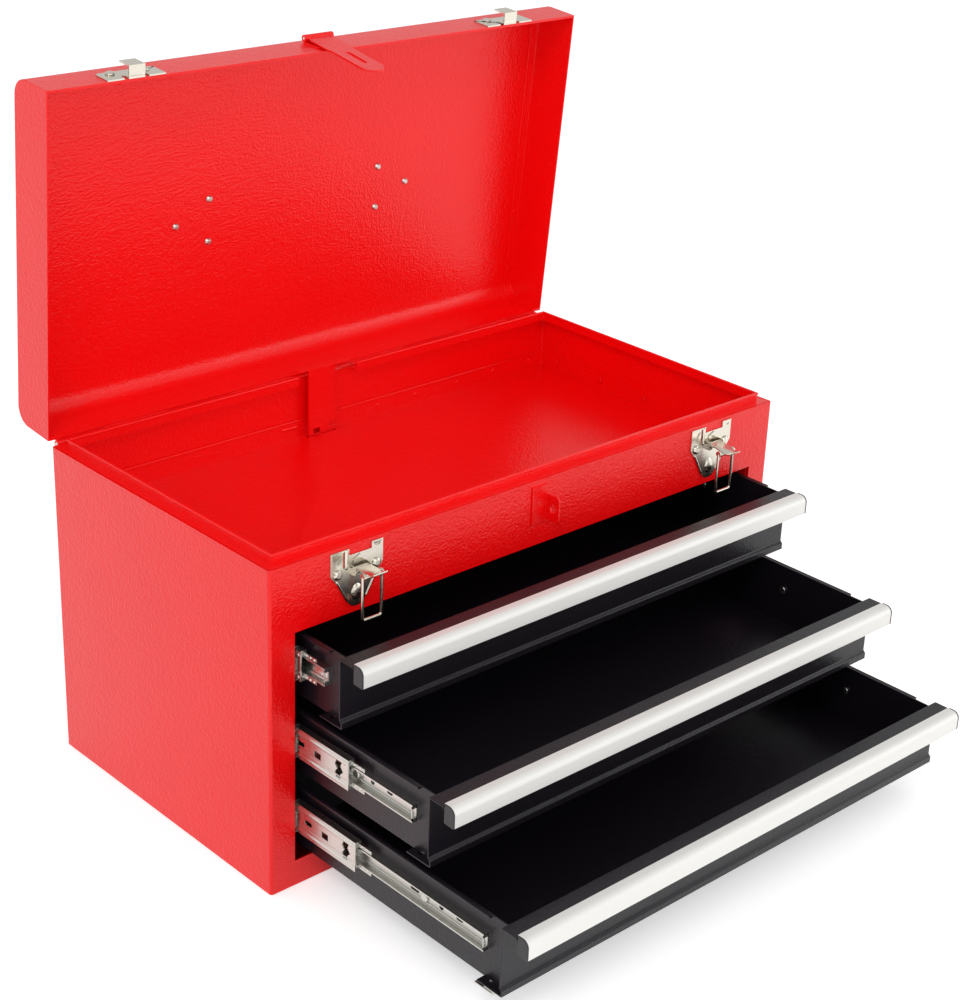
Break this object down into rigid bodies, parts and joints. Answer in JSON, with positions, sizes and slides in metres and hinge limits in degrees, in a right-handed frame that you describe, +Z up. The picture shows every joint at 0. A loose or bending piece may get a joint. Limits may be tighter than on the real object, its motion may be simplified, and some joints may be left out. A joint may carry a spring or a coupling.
{
  "type": "portable tool box",
  "caption": "Portable steel tool box with a hinged lid over an open tray, sliding drawers on ball slides, draw latches, a hasp and a carrying handle.",
  "frame": {"origin": "centre of the body underside, on the surface that the box stands on", "axes": "+X to the right seen from the front, -Y towards the front where the drawers open, +Z up"},
  "size_m": [0.51, 0.5575, 0.5379],
  "materials": {
    "red_paint": "textured red powder coat",
    "black_paint": "textured black powder coat",
    "nickel": "bright nickel plate",
    "zinc": "bright zinc plate",
    "aluminium": "satin anodised extrusion",
    "cap_plastic": "moulded dark plastic",
    "grip_plastic": "moulded black plastic"
  },
  "bodies": {
    "body": {"body_shell": "red_paint", "body_bottom": "red_paint", "rim_frame": "red_paint", "tray": "red_paint", "slide_uprights": "red_paint", "lid_stops": "red_paint", "hinge_body_leaf": "red_paint", "hinge_pin": "zinc", "staple": "red_paint", "latch_plate_left": "nickel", "latch_plate_right": "nickel", "latch_rivets": "nickel", "latch_pivots": "nickel", "lock_guides": "red_paint", "slide_outer_bottom": "zinc", "slide_outer_middle": "zinc", "slide_outer_top": "zinc"},
    "lid": {"lid_shell": "red_paint", "lid_end_left": "red_paint", "lid_end_right": "red_paint", "hinge_lid_leaf": "red_paint", "keeper_left": "nickel", "keeper_right": "nickel", "keeper_rivets": "nickel", "handle_brackets": "nickel", "handle_rivets": "zinc", "hasp_base": "red_paint", "hasp_pin": "nickel"},
    "hasp": {"hasp_tongue": "red_paint"},
    "handle": {"handle_bail": "nickel", "handle_grip": "grip_plastic"},
    "lock_bar": {"lock_bar": "red_paint"},
    "lever_left": {"latch_lever_left": "nickel"},
    "latch_pin_left": {"latch_pin_left": "nickel"},
    "bail_left": {"latch_bail_left": "nickel"},
    "lever_right": {"latch_lever_right": "nickel"},
    "latch_pin_right": {"latch_pin_right": "nickel"},
    "bail_right": {"latch_bail_right": "nickel"},
    "drawer_bottom": {"drawer_box_bottom": "black_paint", "drawer_front_bottom": "black_paint", "drawer_pull_bottom": "aluminium", "drawer_pull_caps_bottom": "cap_plastic", "slide_inner_bottom": "zinc", "drawer_rivets_bottom": "zinc", "drawer_clips": "zinc"},
    "slide_mid_bottom": {"slide_mid_bottom": "zinc"},
    "drawer_middle": {"drawer_box_middle": "black_paint", "drawer_front_middle": "black_paint", "drawer_pull_middle": "aluminium", "drawer_pull_caps_middle": "cap_plastic", "slide_inner_middle": "zinc", "drawer_rivets_middle": "zinc"},
    "slide_mid_middle": {"slide_mid_middle": "zinc"},
    "drawer_top": {"drawer_box_top": "black_paint", "drawer_front_top": "black_paint", "drawer_pull_top": "aluminium", "drawer_pull_caps_top": "cap_plastic", "slide_inner_top": "zinc", "drawer_rivets_top": "zinc"},
    "slide_mid_top": {"slide_mid_top": "zinc"}
  },
  "joints": [
    {"name": "lid_hinge", "type": "hinge", "parent": "body", "child": "lid", "pos_m": [0, 0.1377, 0.2555], "axis": [1, 0, 0], "range_deg": [0, 85.1]},
    {"name": "hasp_hinge", "type": "hinge", "parent": "lid", "child": "hasp", "pos_m": [0, 0.14006, 0.53231], "axis": [-1, 0, 0], "range_deg": [0, 27.4]},
    {"name": "handle_hinge", "type": "hinge", "parent": "lid", "child": "handle", "pos_m": [0, 0.1791, 0.39424], "axis": [1, 0, 0], "range_deg": [0, 180]},
    {"name": "lock_bar_slide", "type": "slide", "parent": "body", "child": "lock_bar", "axis": [0, 0, -1], "range_m": [0, 0.01]},
    {"name": "lever_left_hinge", "type": "hinge", "parent": "body", "child": "lever_left", "pos_m": [-0.181, -0.14, 0.239], "axis": [1, 0, 0], "range_deg": [-75, 90]},
    {"name": "latch_pin_left_hinge", "type": "hinge", "parent": "lever_left", "child": "latch_pin_left", "pos_m": [-0.181, -0.152, 0.239], "axis": [1, 0, 0], "range_deg": [-90, 75]},
    {"name": "bail_left_hinge", "type": "hinge", "parent": "latch_pin_left", "child": "bail_left", "pos_m": [-0.181, -0.152, 0.239], "axis": [-1, 0, 0], "range_deg": [0, 180]},
    {"name": "lever_right_hinge", "type": "hinge", "parent": "body", "child": "lever_right", "pos_m": [0.181, -0.14, 0.239], "axis": [1, 0, 0], "range_deg": [-88, 77]},
    {"name": "latch_pin_right_hinge", "type": "hinge", "parent": "lever_right", "child": "latch_pin_right", "pos_m": [0.181, -0.15169, 0.2363], "axis": [1, 0, 0], "range_deg": [-77, 88]},
    {"name": "bail_right_hinge", "type": "hinge", "parent": "latch_pin_right", "child": "bail_right", "pos_m": [0.181, -0.15169, 0.2363], "axis": [-1, 0, 0], "range_deg": [0, 180]},
    {"name": "drawer_bottom_slide", "type": "slide", "parent": "body", "child": "drawer_bottom", "axis": [0, 1, 0], "range_m": [-0.0154, 0.2096]},
    {"name": "slide_mid_bottom_slide", "type": "slide", "parent": "body", "child": "slide_mid_bottom", "axis": [0, 1, 0], "range_m": [-0.00605, 0.08237]},
    {"name": "drawer_middle_slide", "type": "slide", "parent": "body", "child": "drawer_middle", "axis": [0, 1, 0], "range_m": [-0.0881, 0.1369]},
    {"name": "slide_mid_middle_slide", "type": "slide", "parent": "body", "child": "slide_mid_middle", "axis": [0, 1, 0], "range_m": [-0.04758, 0.07393]},
    {"name": "drawer_top_slide", "type": "slide", "parent": "body", "child": "drawer_top", "axis": [0, 1, 0], "range_m": [-0.1814, 0.0436]},
    {"name": "slide_mid_top_slide", "type": "slide", "parent": "body", "child": "slide_mid_top", "axis": [0, 1, 0], "range_m": [-0.08889, 0.02137]}
  ],
  "couplings": [
    {"joint": "hasp_hinge", "follows": "lid_hinge", "ratio": 0.32197},
    {"joint": "lock_bar_slide", "follows": "lid_hinge", "m_per_rad": 0.006732},
    {"joint": "latch_pin_left_hinge", "follows": "lever_left_hinge", "ratio": -1},
    {"joint": "latch_pin_right_hinge", "follows": "lever_right_hinge", "ratio": -1},
    {"joint": "slide_mid_bottom_slide", "follows": "drawer_bottom_slide", "ratio": 0.393},
    {"joint": "slide_mid_middle_slide", "follows": "drawer_middle_slide", "ratio": 0.54},
    {"joint": "slide_mid_top_slide", "follows": "drawer_top_slide", "ratio": 0.49}
  ]
}
